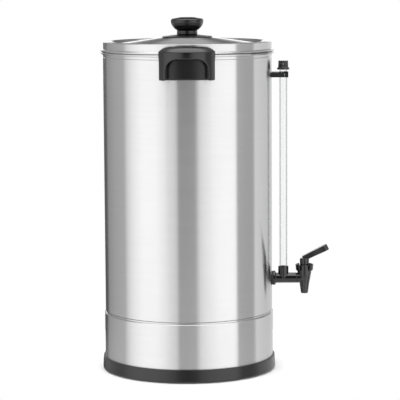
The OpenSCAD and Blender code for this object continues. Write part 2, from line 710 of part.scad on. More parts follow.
function lid_inside() = concat([[bead_x + 0.6, lid_bead_z + 1 - lid_t],
    [lid_r - lid_t, lid_bead_z + 1 - lid_t], [lid_r - lid_t, 484.6]],
    arc([115.5, 480.2], [7.4 - lid_t, 6 - lid_t], 92, 135, 8),
    arc([104.6, cone_edge_z + 3.5], [4.2 + lid_t, 4 + lid_t], -60, -120, 6),
    [[cone_r - 1, cone_edge_z - lid_t], [seat_r, seat_top_z - lid_t], [0, seat_top_z - lid_t]]);

module lid_shell() color(steel) difference() {
    union() {
        rotate_extrude($fn = 180) polygon(concat(lid_outside(), lid_inside()));
        rotate_extrude($fn = 180) translate([bead_x + 0.25, lid_bead_z]) circle(r = bead_r, $fn = 32);
    }
    translate([0, 0, seat_top_z - 5]) cylinder(r = stud_r + 0.2, h = 10);
}

// Spot-welded ring that centres the lid in the mouth of the tank
module lid_locating_ring() color(steel) {
    r = lid_r - lid_t - eps;
    turned([[r - 1.6, 463], [r - 0.6, 463], [r - 0.6, 474], [r, 475], [r, 480], [r - 1, 480],
        [r - 1, 475.4], [r - 1.6, 474.4]]);
}

module lid_knob() color(black) difference() {
    neck_r = knob_r - 8.6;
    turned(concat([[0, shield_top + eps], [neck_r - 0.5, shield_top + eps], [neck_r, shield_top + 1.2],
        [neck_r - 0.4, shield_top + 4], [neck_r - 0.4, knob_top - 20]],
        arc([4, knob_top - 5.5], [knob_r - 4, 16.6], -56, 0, 10),
        arc([knob_r - 4, knob_top - 4.6], [4, 2.6], 0, 70, 6),
        arc([0, knob_top - 2.2], [knob_r - 3.6, 2.2], 60, 90, 4)));
    translate([0, 0, shield_top - 1]) cylinder(r = stud_r, h = 16);
}

module knob_shield() color(black) turned([[2.7, seat_top_z + eps], [seat_r, seat_top_z + eps],
    [shield_r, seat_top_z + eps - cone_slope * (shield_r - seat_r)],
    [shield_r + 0.3, seat_top_z + 0.7 - cone_slope * (shield_r - seat_r)],
    [shield_r - 0.2, seat_top_z + 1.6 - cone_slope * (shield_r - seat_r)],
    [16, shield_top], [2.7, shield_top]]);

module knob_screw() color(steel) {
    translate([0, 0, seat_top_z - 6]) cylinder(r = 4.5, h = 4.1 - eps);
    translate([0, 0, seat_top_z - 5]) cylinder(r = stud_r - eps, h = 20);
}

module knob_washer() color(steel) tube(8, stud_r, seat_top_z - lid_t - 1.1, seat_top_z - lid_t - eps);

// ---------------------------------------------------------------- brewing

module riser_tube() color(steel) difference() {
    union() {
        translate([0, 0, 100]) cylinder(r = riser_r, h = riser_top - 100);
        turned([[0, 88.3], [16.5, 88.3], [16.5, 91], [12, 95], [8, 98], [riser_r, 104], [0, 104]]);
        translate([0, 0, basket_z - 4]) cylinder(r = 9, h = 4 - eps);
    }
    translate([0, 0, 80]) cylinder(r = riser_r - 0.8, h = 400);
    turned([[0, 80], [15, 80], [15, 90], [11, 93.5], [7, 96.6], [riser_r - 0.8, 101], [0, 101]]);
    for (az = [30:60:330]) rotate([0, 0, az]) x_rod(1.2, 8, 20, 89.8);
}

module filter_basket() color(steel) difference() {
    union() {
        rotate_extrude() {
            polygon(concat([[sleeve_r, basket_z], [basket_r - 6, basket_z]],
                arc([basket_r - 6, basket_z + 6], [6, 6], -90, 0, 5),
                [[basket_r, basket_z + basket_h], [basket_r - 0.8, basket_z + basket_h]],
                arc([basket_r - 6, basket_z + 6], [5.2, 5.2], 0, -90, 5),
                [[sleeve_r + 1, basket_z + 0.8], [sleeve_r + 1, basket_z + 40], [sleeve_r, basket_z + 40]]));
            translate([basket_r + 0.6, basket_z + basket_h - 1.2]) circle(r = 1.2, $fn = 24);
        }
    }
    hole_rings([[16, 8], [26, 12], [36, 18], [46, 22], [56, 26], [66, 30]], 1.3, basket_z - 1, 3);
}

module basket_cover() color(steel) difference() {
    top = basket_z + basket_h + cover_gap;
    turned([[riser_r + 0.5, top], [basket_r + 1.6, top], [basket_r + 1.6, top + 4],
        [basket_r + 0.8, top + 4], [basket_r + 0.8, top + 0.8], [riser_r + 0.5, top + 0.8]]);
    hole_rings([[16, 8], [28, 14], [40, 20], [52, 26], [64, 32]], 1.3, top - 1, 3);
}

// ---------------------------------------------------------------- drawing

tank_wall();
tank_bottom();
base_skirt();
base_ring();
foot_ring();
bottom_cover();
cover_screws();
heater_plate();
heater_element();
keep_warm_element();
heater_nuts();
thermostat();
thermal_cutout();
sensor_nuts();
terminal_block();
wiring_live();
wiring_neutral();
wiring_earth();
cord_gland();
gland_nut();
switch_housing();
switch_rocker();
pilot_lamp();
pilot_lens();
tap_shank();
tap_barrel();
tap_outer_gasket();
tap_inner_gasket();
tap_lock_nut();
tap_bonnet();
valve_stem();
valve_cup();
valve_spring();
lever_pin();
tap_lever();
gauge_tube();
gauge_seal();
gauge_cap();
gauge_bracket();
gauge_clip();
clip_screws();
bracket_screw();
handle_front();
handle_rear();
handle_screws();
lid_shell();
lid_locating_ring();
lid_knob();
knob_shield();
knob_screw();
knob_washer();
riser_tube();
filter_basket();
basket_cover();
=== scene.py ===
"""Percolator urn for hot drinks: finishes, moulded pieces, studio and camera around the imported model."""
import json
import math

import bpy
import numpy as np
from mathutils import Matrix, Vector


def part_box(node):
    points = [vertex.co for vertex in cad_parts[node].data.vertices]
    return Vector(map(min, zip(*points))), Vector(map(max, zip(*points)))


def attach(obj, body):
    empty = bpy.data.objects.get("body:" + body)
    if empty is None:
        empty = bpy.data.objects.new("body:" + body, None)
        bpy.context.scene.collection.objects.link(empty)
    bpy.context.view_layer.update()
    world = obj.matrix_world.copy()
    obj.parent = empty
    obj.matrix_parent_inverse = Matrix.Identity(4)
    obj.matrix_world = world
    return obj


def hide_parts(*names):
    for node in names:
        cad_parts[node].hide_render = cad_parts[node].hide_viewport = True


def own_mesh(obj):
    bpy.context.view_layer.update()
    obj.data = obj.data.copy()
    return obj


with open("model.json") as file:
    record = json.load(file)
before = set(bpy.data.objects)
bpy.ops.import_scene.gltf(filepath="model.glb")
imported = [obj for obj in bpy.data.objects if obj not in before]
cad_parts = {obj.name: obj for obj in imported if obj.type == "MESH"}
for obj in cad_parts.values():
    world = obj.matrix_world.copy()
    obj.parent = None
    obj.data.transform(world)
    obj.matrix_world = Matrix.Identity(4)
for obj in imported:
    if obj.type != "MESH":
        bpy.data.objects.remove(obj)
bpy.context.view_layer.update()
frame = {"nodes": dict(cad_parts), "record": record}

import openvdb
from mathutils import Euler, Matrix, Vector

MM = 0.001               # the moulded pieces are worked out in millimetres
SLOT_OF = {part["node"]: part["material_slot"] for part in frame["record"]["subparts"]}
BODY_OF = {node: body for body, nodes in frame["record"]["behaviour"]["bodies"].items() for node in nodes}


# ---------------------------------------------------------------- node helpers

def add(tree, kind, inputs=None, **settings):
    """A new node; each input takes a value or another node's socket."""
    node = tree.nodes.new(kind)
    for key, value in settings.items():
        setattr(node, key, value)
    for key, value in (inputs or {}).items():
        if isinstance(value, bpy.types.NodeSocket):
            tree.links.new(value, node.inputs[key])
        else:
            node.inputs[key].default_value = value
    return node


def calc(tree, operation, *values):
    """A Math node's result."""
    return add(tree, "ShaderNodeMath", dict(enumerate(values)), operation=operation).outputs[0]


def vector(tree, operation, *values, result=0):
    """A Vector Math node's result."""
    return add(tree, "ShaderNodeVectorMath", dict(enumerate(values)), operation=operation).outputs[result]


def remap(tree, value, low, high, to_low, to_high):
    """value between low and high, as a number between to_low and to_high."""
    return add(tree, "ShaderNodeMapRange", {"Value": value, "From Min": low, "From Max": high,
                                            "To Min": to_low, "To Max": to_high}).outputs[0]


def noise(tree, place, scale, detail=2.0, rough=0.5):
    """Noise from 0 to 1 at that many cells a metre."""
    return add(tree, "ShaderNodeTexNoise", {"Vector": place, "Scale": scale, "Detail": detail,
                                            "Roughness": rough}).outputs[0]


def between(tree, share, colour_a, colour_b):
    """Colour that goes from a to b with share."""
    node = add(tree, "ShaderNodeMix", {0: share, 6: (*colour_a, 1), 7: (*colour_b, 1)}, data_type="RGBA")
    return node.outputs[2]


def shaded(colour, factor):
    return tuple(min(1.0, channel * factor) for channel in colour)


def new_material(name):
    """(material, its tree, its Principled shader, object coordinates)"""
    material = bpy.data.materials.new(name)
    material.use_nodes = True
    tree = material.node_tree
    shader = tree.nodes["Principled BSDF"]
    place = add(tree, "ShaderNodeTexCoord").outputs["Object"]
    return material, tree, shader, place


def connect(tree, shader, **sockets):
    """Joins sockets to the shader's inputs, or sets their values."""
    for key, value in sockets.items():
        socket = shader.inputs[key.replace("_", " ")]
        if isinstance(value, bpy.types.NodeSocket):
            tree.links.new(value, socket)
        else:
            socket.default_value = value


def bump(tree, height, strength, depth):
    return add(tree, "ShaderNodeBump", {"Height": height, "Strength": strength,
                                        "Distance": depth}).outputs[0]


# ---------------------------------------------------------------- finishes

def turned_steel(name, colour, roughness, anisotropy, contrast=1.0):
    """Sheet steel brushed round the urn's axis, so its reflections run along the axis."""
    material, tree, shader, place = new_material(name)
    flat = vector(tree, "MULTIPLY", place, (1, 1, 0))
    around = vector(tree, "NORMALIZE", flat)
    height = add(tree, "ShaderNodeSeparateXYZ", {0: place}).outputs[2]
    across = calc(tree, "ADD", vector(tree, "LENGTH", flat, result=1), height)
    spread = add(tree, "ShaderNodeCombineXYZ", {2: across}).outputs[0]

    def streaks(turns, per_metre, detail):
        turned = vector(tree, "SCALE", around)
        turned.node.inputs["Scale"].default_value = turns
        lined = vector(tree, "SCALE", spread)
        lined.node.inputs["Scale"].default_value = per_metre
        return noise(tree, vector(tree, "ADD", turned, lined), 1.0, detail)

    fine = streaks(7.0, 2600.0, 2.0)
    broad = streaks(1.6, 330.0, 3.0)
    cloud = noise(tree, place, 14.0, 3.0)
    tone = calc(tree, "ADD", calc(tree, "MULTIPLY", fine, 0.35), calc(tree, "MULTIPLY", broad, 0.65))
    colour_mix = between(tree, remap(tree, tone, 0.3, 0.7, 0.0, 1.0), shaded(colour, 1 - 0.025 * contrast),
                         shaded(colour, 1 + 0.025 * contrast))
    rough = calc(tree, "ADD", remap(tree, tone, 0.3, 0.7, roughness - 0.01, roughness + 0.015),
                 remap(tree, cloud, 0.3, 0.7, -0.012, 0.012))
    connect(tree, shader, Base_Color=colour_mix, Metallic=1.0, Roughness=rough, Anisotropic=anisotropy,
            Anisotropic_Rotation=0.25, Normal=bump(tree, fine, 0.04, 0.00005),
            Tangent=add(tree, "ShaderNodeTangent", direction_type="RADIAL", axis="Z").outputs[0])
    return material


def plain_metal(name, colour, roughness, grain=900.0, wear=0.06):
    """Metal with fine scratches and slightly uneven tone."""
    material, tree, shader, place = new_material(name)
    fine = noise(tree, place, grain, 3.0, 0.6)
    cloud = noise(tree, place, 60.0, 2.0)
    scratch = add(tree, "ShaderNodeTexWave", {"Vector": place, "Scale": 160.0, "Distortion": 9.0,
                                              "Detail": 3.0, "Detail Scale": 2.0}).outputs[1]
    connect(tree, shader, Metallic=1.0,
            Base_Color=between(tree, remap(tree, cloud, 0.3, 0.7, 0, 1), shaded(colour, 1 - wear),
                               shaded(colour, 1 + wear)),
            Roughness=remap(tree, calc(tree, "ADD", fine, calc(tree, "MULTIPLY", scratch, 0.3)), 0.3, 1.0,
                            roughness - 0.04, roughness + 0.07),
            Normal=bump(tree, fine, 0.12, 0.00008))
    return material


def zinc_sheet(name, colour):
    """Dull zinc with a faint pattern of crystals."""
    material, tree, shader, place = new_material(name)
    cells = add(tree, "ShaderNodeTexVoronoi", {"Vector": place, "Scale": 130.0}).outputs["Color"]
    shade = add(tree, "ShaderNodeSeparateColor", {0: cells}).outputs[0]
    connect(tree, shader, Metallic=1.0,
            Base_Color=between(tree, shade, shaded(colour, 0.86), shaded(colour, 1.08)),
            Roughness=remap(tree, shade, 0, 1, 0.34, 0.5),
            Normal=bump(tree, noise(tree, place, 700.0), 0.08, 0.0001))
    return material


def cast_metal(name, colour):
    """Rough cast surface with small pits."""
    material, tree, shader, place = new_material(name)
    lumps = noise(tree, place, 420.0, 4.0, 0.65)
    pits = add(tree, "ShaderNodeTexVoronoi", {"Vector": place, "Scale": 600.0}).outputs["Distance"]
    surface = calc(tree, "ADD", lumps, remap(tree, pits, 0.0, 0.25, -0.3, 0.0))
    connect(tree, shader, Metallic=1.0,
            Base_Color=between(tree, remap(tree, surface, 0.2, 0.7, 0, 1), shaded(colour, 0.75), colour),
            Roughness=remap(tree, lumps, 0.3, 0.7, 0.42, 0.6), Normal=bump(tree, surface, 0.35, 0.0002))
    return material


def heated_metal(name, colour):
    """Element sheath, dark and tinted by heat."""
    material, tree, shader, place = new_material(name)
    cloud = noise(tree, place, 55.0, 3.0)
    fine = noise(tree, place, 1500.0, 2.0)
    ramp = add(tree, "ShaderNodeValToRGB", {0: cloud})
    ramp.color_ramp.elements[0].position = 0.32
    ramp.color_ramp.elements[0].color = (*shaded(colour, 0.7), 1)
    ramp.color_ramp.elements[1].position = 0.7
    ramp.color_ramp.elements[1].color = (*colour, 1)
    straw = ramp.color_ramp.elements.new(0.5)
    straw.color = (colour[0] * 1.15, colour[1] * 0.98, colour[2] * 0.8, 1)
    connect(tree, shader, Metallic=1.0, Base_Color=ramp.outputs[0],
            Roughness=remap(tree, fine, 0.3, 0.7, 0.36, 0.5), Normal=bump(tree, fine, 0.1, 0.0001))
    return material


def moulded(name, colour, roughness, grain=2400.0, relief=0.1, ior=1.5, edge_wear_and_highlight=1.6):
    """Moulded plastic: fine grain, faint flow marks, and convex edges painted a little lighter, partly as
    wear and partly as a painted edge highlight.
    """
    material, tree, shader, place = new_material(name)
    fine = noise(tree, place, grain, 2.0)
    flow = noise(tree, place, 26.0, 3.0)
    # Convex edges (Pointiness) are painted lighter in the colour: partly wear, partly a painted edge
    # highlight
    edge = add(tree, "ShaderNodeNewGeometry").outputs["Pointiness"]
    edge_wear_and_highlight_mask = calc(tree, "MULTIPLY", remap(tree, edge, 0.53, 0.62, 0.0, 1.0),
                remap(tree, flow, 0.35, 0.65, 0.2, 1.0))
    even = between(tree, remap(tree, flow, 0.3, 0.7, 0, 1), shaded(colour, 0.88), shaded(colour, 1.12))
    edge_wear_and_highlight_mix = add(tree, "ShaderNodeMix", {0: edge_wear_and_highlight_mask, 6: even, 7: (*shaded(colour, edge_wear_and_highlight), 1)}, data_type="RGBA")
    rough = calc(tree, "ADD", remap(tree, fine, 0.3, 0.7, roughness - 0.02, roughness + 0.03),
                 remap(tree, flow, 0.3, 0.7, -0.025, 0.025))
    connect(tree, shader, Base_Color=edge_wear_and_highlight_mix.outputs[2], Roughness=rough, IOR=ior,
            Normal=bump(tree, fine, relief, 0.00008))
    return material


def rubber(name, colour, roughness=0.62):
    material, tree, shader, place = new_material(name)
    fine = noise(tree, place, 1800.0, 3.0, 0.6)
    bloom = noise(tree, place, 45.0, 3.0)
    connect(tree, shader,
            Base_Color=between(tree, remap(tree, bloom, 0.3, 0.7, 0, 1), shaded(colour, 0.85),
                               shaded(colour, 1.2)),
            Roughness=remap(tree, fine, 0.3, 0.7, roughness - 0.06, roughness + 0.08),
            Normal=bump(tree, fine, 0.15, 0.0001))
    return material


def glass(name):
    """Clear tube with the faintest water marks."""
    material, tree, shader, place = new_material(name)
    stretched = vector(tree, "MULTIPLY", place, (1.0, 1.0, 0.25))
    marks = noise(tree, stretched, 60.0, 2.0)
    connect(tree, shader, Transmission_Weight=1.0, IOR=1.47,
            Base_Color=between(tree, remap(tree, marks, 0.3, 0.7, 0, 1), (0.98, 0.988, 0.988),
                               (0.995, 1.0, 0.998)), Roughness=0.0)
    return material


def lens(name, colour):
    """Translucent lens with fine ribs inside."""
    material, tree, shader, place = new_material(name)
    ribs = add(tree, "ShaderNodeTexWave", {"Vector": place, "Scale": 320.0}, bands_direction="Z").outputs[1]
    connect(tree, shader, Transmission_Weight=0.55, IOR=1.49, Roughness=0.12,
            Base_Color=between(tree, ribs, shaded(colour, 0.8), shaded(colour, 1.1)),
            Normal=bump(tree, ribs, 0.25, 0.0002))
    return material


STEEL = (0.555, 0.555, 0.555)
finish = {
    "satin_steel": turned_steel("satin_steel", STEEL, 0.23, 1.0),
    "bright_steel": plain_metal("bright_steel", (0.6, 0.6, 0.6), 0.2),
    "zinc_plate": zinc_sheet("zinc_plate", (0.5, 0.51, 0.53)),
    "cast_aluminium": cast_metal("cast_aluminium", (0.62, 0.62, 0.63)),
    "element_sheath": heated_metal("element_sheath", (0.24, 0.235, 0.23)),
    "black_plastic": moulded("black_plastic", (0.003, 0.003, 0.0031), 0.22, ior=1.52),
    "black_gloss": moulded("black_gloss", (0.003, 0.003, 0.0031), 0.12, relief=0.03, ior=1.6),
    "black_rubber": rubber("black_rubber", (0.022, 0.022, 0.022)),
    "white_silicone": rubber("white_silicone", (0.72, 0.7, 0.66), 0.4),
    "cream_phenolic": moulded("cream_phenolic", (0.66, 0.6, 0.47), 0.5, 900.0, edge_wear_and_highlight=1.1),
    "brown_phenolic": moulded("brown_phenolic", (0.11, 0.055, 0.025), 0.45, 900.0),
    "brown_insulation": moulded("brown_insulation", (0.1, 0.04, 0.018), 0.35),
    "blue_insulation": moulded("blue_insulation", (0.02, 0.06, 0.26), 0.35),
    "green_insulation": moulded("green_insulation", (0.05, 0.26, 0.03), 0.35),
    "amber_lens": lens("amber_lens", (0.9, 0.3, 0.03)),
    "clear_glass": glass("clear_glass"),
}


def set_finish(obj, slot):
    obj.data.materials.clear()
    obj.data.materials.append(finish[slot])


# ---------------------------------------------------------------- moulded pieces

def soften_once(values):
    """One pass of a 1-2-1 filter along each axis, which rounds every edge a little."""
    for axis in range(3):
        padded = np.concatenate([np.take(values, [0], axis), values, np.take(values, [-1], axis)], axis)
        count = padded.shape[axis]
        before = np.take(padded, range(0, count - 2), axis)
        middle = np.take(padded, range(1, count - 1), axis)
        after = np.take(padded, range(2, count), axis)
        values = (before + 2 * middle + after) / 4
    return values


def sampled(grids, spot):
    """Values of each grid at fractional grid positions spot, by trilinear weights."""
    base = np.clip(np.floor(spot).astype(int), 0, np.array(grids[0].shape) - 2)
    part = spot - base
    total = [np.zeros(len(spot)) for _ in grids]
    for corner in np.ndindex(2, 2, 2):
        weight = np.prod(np.where(corner, part, 1 - part), axis=1)
        index = tuple((base + corner).T)
        for i, grid in enumerate(grids):
            total[i] += weight * grid[index]
    return np.stack(total, 1)


def moulded_mesh(name, field, low, high, step, soften=2, adaptivity=0.02):
    """Mesh of the solid where field(x, y, z) is negative. Lengths are millimetres, and so is the field."""
    margin = 3 * step
    low = np.array(low, float) - margin
    counts = np.ceil((np.array(high, float) + margin - low) / step).astype(int) + 1
    x, y, z = (low[i] + step * np.arange(counts[i]) for i in range(3))
    values = field(x[:, None, None], y[None, :, None], z[None, None, :])
    values = np.array(np.broadcast_to(values, counts), float)
    for _ in range(soften):
        values = soften_once(values)
    grid = openvdb.FloatGrid(margin)
    grid.copyFromArray(np.clip(values, -margin, margin).astype(np.float32))
    points, triangles, quads = grid.convertToPolygons(isovalue=0.0, adaptivity=adaptivity)
    mesh = bpy.data.meshes.new(name)
    faces = [tuple(int(i) for i in face) for face in (*triangles, *quads)]
    mesh.from_pydata([tuple(p) for p in (low + points * step) * MM], [], faces)
    mesh.shade_smooth()
    normals = sampled(np.gradient(values), points.astype(float))
    normals /= np.maximum(np.linalg.norm(normals, axis=1, keepdims=True), 1e-9)
    mesh.normals_split_custom_set_from_vertices([tuple(n) for n in normals])
    return mesh


def place_piece(name, mesh, *nodes):
    """A visible piece that stands for those CAD nodes and moves with their body."""
    piece = bpy.data.objects.new(name, mesh)
    bpy.context.scene.collection.objects.link(piece)
    slot = SLOT_OF[nodes[0]]
    set_finish(piece, slot)
    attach(piece, BODY_OF[nodes[0]])
    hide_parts(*nodes)
    return piece


def node_box(node):
    """Lowest and highest corner of a CAD node, in millimetres."""
    low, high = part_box(node)
    return np.array(low) / MM, np.array(high) / MM


def moulded_piece(name, node, field, step, **options):
    low, high = node_box(node)
    return place_piece(name, moulded_mesh(name, field, low, high, step, **options), node)


def rod_x(y, z, radius, x, start, end):
    """Field of a cylinder along X."""
    return np.maximum(np.hypot(y, z) - radius, np.maximum(start - x, x - end))


def slab(value, start, end):
    return np.maximum(start - value, value - end)


def outline(points, u, v):
    """Signed distance from a closed outline, negative inside it."""
    u, v = np.broadcast_arrays(u, v)
    best = np.full(u.shape, np.inf)
    inside = np.zeros(u.shape, bool)
    for (u0, v0), (u1, v1) in zip(points, points[1:] + points[:1]):
        du, dv = u1 - u0, v1 - v0
        share = np.clip(((u - u0) * du + (v - v0) * dv) / (du * du + dv * dv), 0, 1)
        best = np.minimum(best, (u - u0 - share * du) ** 2 + (v - v0 - share * dv) ** 2)
        crosses = (v0 > v) != (v1 > v)
        if dv:
            inside ^= crosses & (u < u0 + (v - v0) * du / dv)
    return np.where(inside, -1, 1) * np.sqrt(best)


def ease(value, start, end):
    """0 before start, 1 after end, smooth between."""
    share = np.clip((value - start) / (end - start), 0, 1)
    return share * share * (3 - 2 * share)


# Heights and radii that the moulded pieces share with their neighbours
WALL_R = 124.0
handle_low, handle_high = node_box("handle_front")
handle_base, handle_top = handle_low[2], handle_high[2]
handle_half = handle_high[0]
handle_front_y = handle_low[1]
BOW = 45.0               # radius of the bowed front, seen from above
SHELL = 4.2
TOP_DEPTH, TOP_RISE = 14.0, 7.1   # the top rises this much over this depth, from the edge inwards
LIP = 0.6                # the sides stand out this much more at the top
ARCH_HALF, ARCH_TOP, ARCH_CORNER = 30.3, 465.9, 17.0
RELIEF_R, RELIEF_Z = 128.6, 466.2  # room round the lid and the rim
HOLLOW_TOP = 476
ARCH_DEPTH = 5.4         # the arch is cut through in front of the relief by this much


def handle_field(x, y, z):
    """Hollow handle with an arched opening under its rounded top."""
    front = np.hypot(x, y - handle_front_y - BOW) - BOW
    side = np.abs(x) - handle_half + LIP * (1 - ease(z, 460, 471))
    plan = np.maximum(front, side)
    crown = handle_top - TOP_RISE * (1 - np.clip(-plan / TOP_DEPTH, 0, 1)) ** 2
    outer = np.maximum(np.maximum(plan, 0.75 * (z - crown)), handle_base - z)
    radius = np.hypot(x, y)
    corner_x, corner_z = np.abs(x) - ARCH_HALF + ARCH_CORNER, z - ARCH_TOP + ARCH_CORNER
    arch = (np.hypot(np.maximum(corner_x, 0), np.maximum(corner_z, 0))
            + np.minimum(np.maximum(corner_x, corner_z), 0) - ARCH_CORNER)
    hollow = np.maximum(np.maximum(front + SHELL, np.abs(x) - ARCH_HALF), z - HOLLOW_TOP)
    hollow = np.maximum(hollow, RELIEF_R - radius)
    hollow = np.minimum(hollow, np.maximum(arch, y + RELIEF_R + ARCH_DEPTH))
    solid = np.maximum(outer, -hollow)
    solid = np.maximum(solid, WALL_R + 0.05 - radius)
    return np.maximum(solid, np.minimum(RELIEF_R - radius, z - RELIEF_Z))


handle_mesh = moulded_mesh("handle_front_shell", handle_field, handle_low, handle_high, 0.5, soften=4)
place_piece("handle_front_shell", handle_mesh, "handle_front")
rear_mesh = handle_mesh.copy()
rear_mesh.transform(Matrix.Rotation(math.pi, 4, "Z"))
place_piece("handle_rear_shell", rear_mesh, "handle_rear")

# Tap
TAP_Z = 133.0
GAUGE_X = 141.0
BARREL_X = 172.4
JOINT_X = 161.0          # where shank and barrel meet
PIPE_R, PASSAGE_R = 7.6, 4.2
SPIGOT_R, SPIGOT_BORE_R = 5.8, 5.82
THREAD_R, THREAD_PITCH = 7.4, 1.8
FLANGE_X = 125.3         # inner face of the flange
SOCKET_R, SOCKET_TOP, SEAL_R = 7.7, 150.7, 6.6


def shank_field(x, y, z):
    """Threaded shank, flange and the socket for the gauge tube."""
    up = z - TAP_Z
    phase = (x / THREAD_PITCH - np.arctan2(up, y) / (2 * math.pi)) % 1
    thread = rod_x(y, up, THREAD_R, x, 108.3, FLANGE_X + 0.5) + 1.1 * np.abs(phase - 0.5)
    core = rod_x(y, up, 6.6, x, 108.0, FLANGE_X + 0.5)
    pipe = rod_x(y, up, PIPE_R, x, FLANGE_X, JOINT_X - 0.02)
    flange = np.minimum(rod_x(y, up, 10.65, x, FLANGE_X, 128.8), rod_x(y, up, 9.6, x, FLANGE_X, 129.6))
    tower = np.hypot(x - GAUGE_X, y)
    socket = np.maximum(tower - SOCKET_R, slab(z, TAP_Z, SOCKET_TOP))
    spigot = rod_x(y, up, SPIGOT_R, x, JOINT_X - 1, JOINT_X + 3)
    solid = np.minimum.reduce(np.broadcast_arrays(thread, core, pipe, flange, socket, spigot))
    passage = rod_x(y, up, PASSAGE_R, x, 100, JOINT_X + 5)
    up_bore = np.maximum(tower - 2.6, TAP_Z - z)
    seal_bore = np.maximum(tower - SEAL_R, 142.0 - z)
    return np.maximum(solid, -np.minimum(np.minimum(passage, up_bore), seal_bore))


# Barrel's outline as (distance from its axis, height), up the outside, over the collar and down into it
BARREL = [(0, 110), (4.9, 110), (5.25, 110.6), (6.1, 117), (7.15, 124.9), (8.55, 132), (9.5, 137.5),
          (10.5, 143), (12.6, 144.8), (13.4, 152.7), (13.4, 153.4), (11.9, 153.4), (11.2, 145.8),
          (6.8, 144.6), (6.8, 152.3), (0, 152.3)]
BARREL_TOP = 152.3
WINDOW_R, WINDOW_Z = 7.2, 144.6
COLUMN_HALF, COLUMN_R, COLUMN_BASE = 6.9, 9.9, 136


def barrel_field(x, y, z):
    """Barrel and spout, with two windows in the flared collar."""
    out = np.hypot(x - BARREL_X, y)
    turned = outline(BARREL, out, z)
    window = np.minimum(np.hypot(x - BARREL_X, z - WINDOW_Z) - WINDOW_R,
                        np.maximum(np.abs(x - BARREL_X) - WINDOW_R, WINDOW_Z - z))
    column = np.maximum(np.abs(x - BARREL_X) - COLUMN_HALF, out - COLUMN_R)
    solid = np.maximum(turned, -window)
    solid = np.minimum(solid, np.maximum(column, slab(z, COLUMN_BASE, BARREL_TOP)))
    solid = np.minimum(solid, rod_x(y, z - TAP_Z, PIPE_R, x, JOINT_X, BARREL_X - 3))
    spigot_bore = rod_x(y, z - TAP_Z, SPIGOT_BORE_R, x, JOINT_X - 1, JOINT_X + 3)
    passage = rod_x(y, z - TAP_Z, PASSAGE_R, x, JOINT_X, BARREL_X)
    outlet, chamber = out - 3.6, np.maximum(out - 5.4, 128.5 - z)
    bores = np.minimum.reduce(np.broadcast_arrays(spigot_bore, passage, outlet, chamber))
    return np.maximum(solid, -bores)


PIN_Z, PIN_HOLE_R = 157.4, 1.06
HUB_R, HUB_DROP = 6.9, 3.8
LEVER_SLOPE = math.radians(27)
LEVER_LENGTH, LEVER_RISE, LEVER_TOP = 41.1, 3.6, 5.0


def lever_field(x, y, z):
    """Lever: a hub over the stem and an arm that grows wider and thicker to its round end."""
    forward, up = x - BARREL_X, z - PIN_Z
    along = forward * math.cos(LEVER_SLOPE) + up * math.sin(LEVER_SLOPE)
    above = up * math.cos(LEVER_SLOPE) - forward * math.sin(LEVER_SLOPE) - LEVER_RISE
    hub = np.maximum(np.hypot(forward, y) - HUB_R, slab(up, -HUB_DROP, 5.2 - 0.02 * forward ** 2))
    width = 4.6 + 1.3 * ease(along, 16, 34)
    below = -2.3 - 1.5 * along / LEVER_LENGTH
    arm = np.maximum(np.abs(y) - width, slab(along, 0, LEVER_LENGTH))
    arm = np.maximum(slab(above, below, LEVER_TOP), arm)
    tip = np.hypot(np.maximum(along - LEVER_LENGTH + width, 0), y) - width
    arm = np.maximum(arm, np.where(along > LEVER_LENGTH - width, tip, arm))
    solid = np.minimum(hub, arm)
    solid = np.maximum(solid, -HUB_DROP - up)
    slot = np.maximum(np.maximum(np.abs(y) - 2.2, slab(forward, -3.2, 4.9)), up - 3.2)
    return np.maximum(solid, -np.minimum(slot, np.hypot(forward, up) - PIN_HOLE_R))


CAP_LOW, CAP_TOP = 443.3, 456.5
GRIP_R, GRIP_LOW, FLUTES, FLUTE_DEPTH = 7.5, 446.4, 10, 0.8


def cap_field(x, y, z):
    """Push-on cap with a fluted grip above a thin flange."""
    out = np.hypot(x - GAUGE_X, y)
    turn = np.arctan2(y, x - GAUGE_X)
    flutes = FLUTE_DEPTH * (0.5 - 0.5 * np.cos(FLUTES * turn)) ** 2 * ease(z, GRIP_LOW, GRIP_LOW + 1)
    grip = np.maximum(out - GRIP_R + 0.043 * (z - GRIP_LOW) + flutes, slab(z, 445, CAP_TOP))
    flange = np.maximum(out - 9.15, slab(z, CAP_LOW, 446.2))
    bore = np.maximum(out - 6.3, z - 452.6)
    return np.maximum(np.minimum(grip, flange), -np.minimum(bore, out - 0.8))


GAUGE_TUBE_R = 6.05
BRACKET_MID, BRACKET_HALF = 436.1, 11


def bracket_field(x, y, z):
    """Arm from the wall to the gauge tube, with two grooves along each side."""
    bar = np.maximum(np.maximum(slab(z, 432.2, 440), np.abs(y) - BRACKET_HALF), x - 142.6)
    grooves = np.maximum(np.minimum(slab(z, 434.3, 435.1), slab(z, 437.2, 438.0)), 10.4 - np.abs(y))
    solid = np.maximum(bar, -grooves)
    solid = np.maximum(solid, WALL_R + 0.04 - np.hypot(x, y))
    return np.maximum(solid, GAUGE_TUBE_R - np.hypot(x - GAUGE_X, y))


def clip_field(x, y, z):
    """Clip that holds the gauge tube against the arm, with two sunk screws."""
    bar = np.maximum(np.maximum(slab(z, 432, 440.6), np.abs(y) - BRACKET_HALF), slab(x, 143.2, 148.1))
    heads = np.maximum(np.hypot(np.abs(y) - 8.4, z - BRACKET_MID) - 2.2, 146.4 - x)
    return np.maximum(np.maximum(bar, -heads), GAUGE_TUBE_R - np.hypot(x - GAUGE_X, y))


moulded_piece("tap_shank_body", "tap_shank", shank_field, 0.3, soften=1)
moulded_piece("tap_barrel_body", "tap_barrel", barrel_field, 0.3, soften=1)
moulded_piece("tap_lever_arm", "tap_lever", lever_field, 0.25, soften=1)
moulded_piece("gauge_cap_grip", "gauge_cap", cap_field, 0.22, soften=2)
moulded_piece("gauge_bracket_arm", "gauge_bracket", bracket_field, 0.25, soften=1)
moulded_piece("gauge_clip_bar", "gauge_clip", clip_field, 0.22, soften=1)
